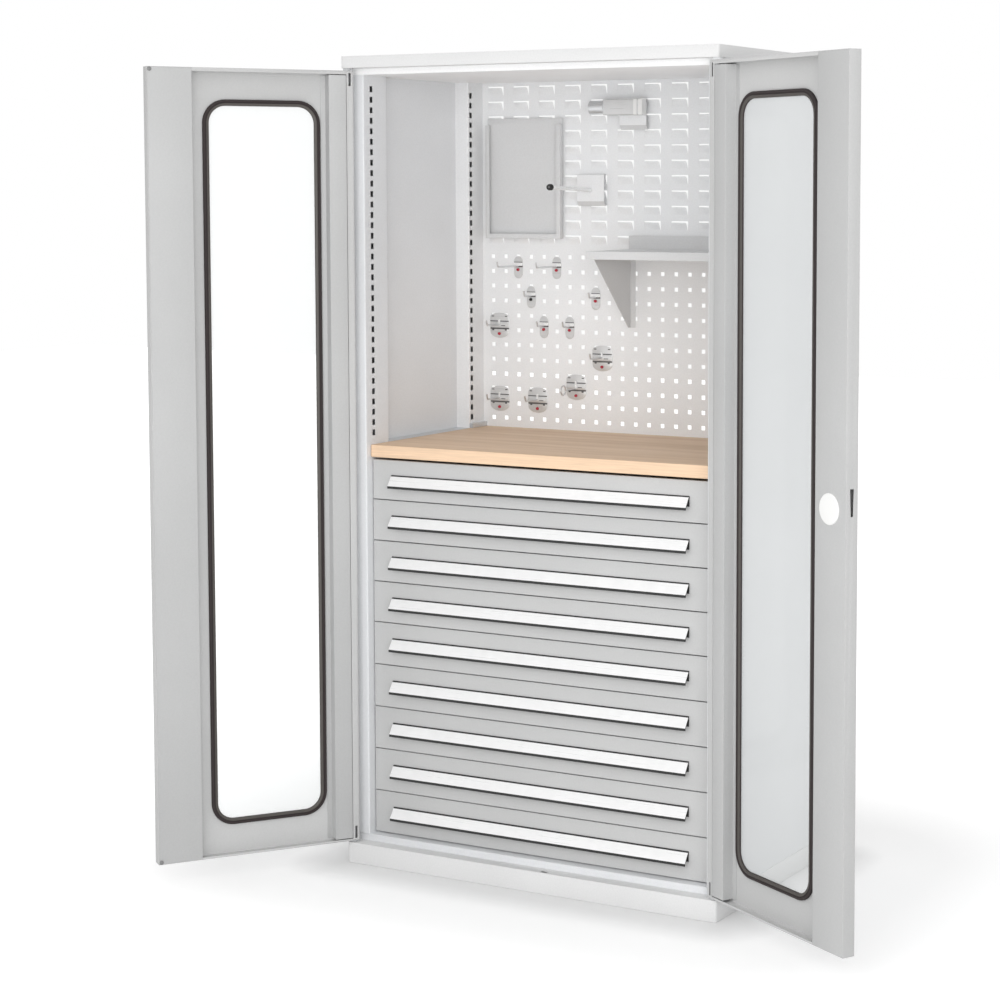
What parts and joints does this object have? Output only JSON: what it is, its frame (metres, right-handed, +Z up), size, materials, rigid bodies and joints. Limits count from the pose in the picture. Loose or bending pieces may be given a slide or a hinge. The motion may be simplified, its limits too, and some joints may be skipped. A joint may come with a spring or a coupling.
{
  "type": "workbench cabinet",
  "caption": "Tall steel cabinet with two glazed hinged doors, a wooden worktop over a stack of drawers, and perforated and louvred tool panels above it.",
  "frame": {"origin": "centre of the footprint, on the floor under the plinth", "axes": "+X to the right seen from the front, +Y towards the rear, +Z up"},
  "size_m": [1.7085, 0.992, 1.95],
  "materials": {
    "steel_body": "fine powder coat",
    "steel_frame": "fine powder coat",
    "zinc_steel": "zinc plated",
    "handle_aluminium": "satin",
    "worktop_wood": "oiled multiplex board",
    "gasket_rubber": "matt",
    "pane_glass": "clear",
    "red_plastic": "moulded",
    "black_plastic": "moulded",
    "white_plastic": "moulded"
  },
  "bodies": {
    "cabinet": {"plinth": "steel_frame", "roof_cap": "steel_frame", "bottom_pan": "steel_body", "side_panels": "steel_body", "ceiling_pan": "steel_body", "front_posts": "steel_body", "rear_posts": "steel_body", "perforated_panel": "steel_body", "louvred_panel": "steel_body", "lower_back_panel": "steel_body", "worktop": "worktop_wood", "worktop_fittings": "zinc_steel", "fixed_runners": "zinc_steel", "hinge_pins": "zinc_steel", "panel_hooks": "zinc_steel", "hook_pins": "red_plastic", "document_holder": "steel_body", "rod_holder": "zinc_steel", "rod_cap": "black_plastic", "tube_holder": "zinc_steel", "panel_shelf": "steel_body"},
    "left_door": {"left_door_skin": "steel_body", "left_door_stiles": "steel_body", "left_gasket": "gasket_rubber", "left_pane": "pane_glass"},
    "right_door": {"right_door_skin": "steel_body", "right_door_stiles": "steel_body", "right_gasket": "gasket_rubber", "right_pane": "pane_glass", "lock_cover": "white_plastic"},
    "lock_knob": {"lock_knob": "black_plastic"},
    "upper_rod": {"upper_lock_rod": "zinc_steel"},
    "lower_rod": {"lower_lock_rod": "zinc_steel"},
    "drawer_1": {"drawer_1": "steel_body", "drawer_1_handle": "handle_aluminium"},
    "rails_1": {"drawer_1_rails": "zinc_steel"},
    "drawer_2": {"drawer_2": "steel_body", "drawer_2_handle": "handle_aluminium"},
    "rails_2": {"drawer_2_rails": "zinc_steel"},
    "drawer_3": {"drawer_3": "steel_body", "drawer_3_handle": "handle_aluminium"},
    "rails_3": {"drawer_3_rails": "zinc_steel"},
    "drawer_4": {"drawer_4": "steel_body", "drawer_4_handle": "handle_aluminium"},
    "rails_4": {"drawer_4_rails": "zinc_steel"},
    "drawer_5": {"drawer_5": "steel_body", "drawer_5_handle": "handle_aluminium"},
    "rails_5": {"drawer_5_rails": "zinc_steel"},
    "drawer_6": {"drawer_6": "steel_body", "drawer_6_handle": "handle_aluminium"},
    "rails_6": {"drawer_6_rails": "zinc_steel"},
    "drawer_7": {"drawer_7": "steel_body", "drawer_7_handle": "handle_aluminium"},
    "rails_7": {"drawer_7_rails": "zinc_steel"},
    "drawer_8": {"drawer_8": "steel_body", "drawer_8_handle": "handle_aluminium"},
    "rails_8": {"drawer_8_rails": "zinc_steel"},
    "drawer_9": {"drawer_9": "steel_body", "drawer_9_handle": "handle_aluminium"},
    "rails_9": {"drawer_9_rails": "zinc_steel"}
  },
  "joints": [
    {"name": "left_door_hinge", "type": "hinge", "parent": "cabinet", "child": "left_door", "pos_m": [-0.49, -0.285, 0], "axis": [0, 0, -1], "range_deg": [-125.5, 44.5]},
    {"name": "right_door_hinge", "type": "hinge", "parent": "cabinet", "child": "right_door", "pos_m": [0.49, -0.285, 0], "axis": [0, 0, 1], "range_deg": [-150.5, 19.5]},
    {"name": "upper_rod_slide", "type": "slide", "parent": "right_door", "child": "upper_rod", "axis": [0, 0, 1], "range_m": [0, 0.0197]},
    {"name": "lower_rod_slide", "type": "slide", "parent": "right_door", "child": "lower_rod", "axis": [0, 0, -1], "range_m": [0, 0.0199]},
    {"name": "knob_turn", "type": "hinge", "parent": "right_door", "child": "lock_knob", "pos_m": [0.87382, -0.48492, 0.982], "axis": [0.4924, 0.8704, 0], "range_deg": [0, 90]},
    {"name": "drawer_1_slide", "type": "slide", "parent": "cabinet", "child": "drawer_1", "axis": [0, -1, 0], "range_m": [0, 0.45]},
    {"name": "rails_1_slide", "type": "slide", "parent": "cabinet", "child": "rails_1", "axis": [0, -1, 0], "range_m": [0, 0.225]},
    {"name": "drawer_2_slide", "type": "slide", "parent": "cabinet", "child": "drawer_2", "axis": [0, -1, 0], "range_m": [0, 0.45]},
    {"name": "rails_2_slide", "type": "slide", "parent": "cabinet", "child": "rails_2", "axis": [0, -1, 0], "range_m": [0, 0.225]},
    {"name": "drawer_3_slide", "type": "slide", "parent": "cabinet", "child": "drawer_3", "axis": [0, -1, 0], "range_m": [0, 0.45]},
    {"name": "rails_3_slide", "type": "slide", "parent": "cabinet", "child": "rails_3", "axis": [0, -1, 0], "range_m": [0, 0.225]},
    {"name": "drawer_4_slide", "type": "slide", "parent": "cabinet", "child": "drawer_4", "axis": [0, -1, 0], "range_m": [0, 0.45]},
    {"name": "rails_4_slide", "type": "slide", "parent": "cabinet", "child": "rails_4", "axis": [0, -1, 0], "range_m": [0, 0.225]},
    {"name": "drawer_5_slide", "type": "slide", "parent": "cabinet", "child": "drawer_5", "axis": [0, -1, 0], "range_m": [0, 0.45]},
    {"name": "rails_5_slide", "type": "slide", "parent": "cabinet", "child": "rails_5", "axis": [0, -1, 0], "range_m": [0, 0.225]},
    {"name": "drawer_6_slide", "type": "slide", "parent": "cabinet", "child": "drawer_6", "axis": [0, -1, 0], "range_m": [0, 0.45]},
    {"name": "rails_6_slide", "type": "slide", "parent": "cabinet", "child": "rails_6", "axis": [0, -1, 0], "range_m": [0, 0.225]},
    {"name": "drawer_7_slide", "type": "slide", "parent": "cabinet", "child": "drawer_7", "axis": [0, -1, 0], "range_m": [0, 0.45]},
    {"name": "rails_7_slide", "type": "slide", "parent": "cabinet", "child": "rails_7", "axis": [0, -1, 0], "range_m": [0, 0.225]},
    {"name": "drawer_8_slide", "type": "slide", "parent": "cabinet", "child": "drawer_8", "axis": [0, -1, 0], "range_m": [0, 0.45]},
    {"name": "rails_8_slide", "type": "slide", "parent": "cabinet", "child": "rails_8", "axis": [0, -1, 0], "range_m": [0, 0.225]},
    {"name": "drawer_9_slide", "type": "slide", "parent": "cabinet", "child": "drawer_9", "axis": [0, -1, 0], "range_m": [0, 0.45]},
    {"name": "rails_9_slide", "type": "slide", "parent": "cabinet", "child": "rails_9", "axis": [0, -1, 0], "range_m": [0, 0.225]}
  ],
  "couplings": [
    {"joint": "knob_turn", "follows": "upper_rod_slide", "rad_per_m": 79.337},
    {"joint": "lower_rod_slide", "follows": "upper_rod_slide", "ratio": 1},
    {"joint": "rails_1_slide", "follows": "drawer_1_slide", "ratio": 0.5},
    {"joint": "rails_2_slide", "follows": "drawer_2_slide", "ratio": 0.5},
    {"joint": "rails_3_slide", "follows": "drawer_3_slide", "ratio": 0.5},
    {"joint": "rails_4_slide", "follows": "drawer_4_slide", "ratio": 0.5},
    {"joint": "rails_5_slide", "follows": "drawer_5_slide", "ratio": 0.5},
    {"joint": "rails_6_slide", "follows": "drawer_6_slide", "ratio": 0.5},
    {"joint": "rails_7_slide", "follows": "drawer_7_slide", "ratio": 0.5},
    {"joint": "rails_8_slide", "follows": "drawer_8_slide", "ratio": 0.5},
    {"joint": "rails_9_slide", "follows": "drawer_9_slide", "ratio": 0.5}
  ]
}
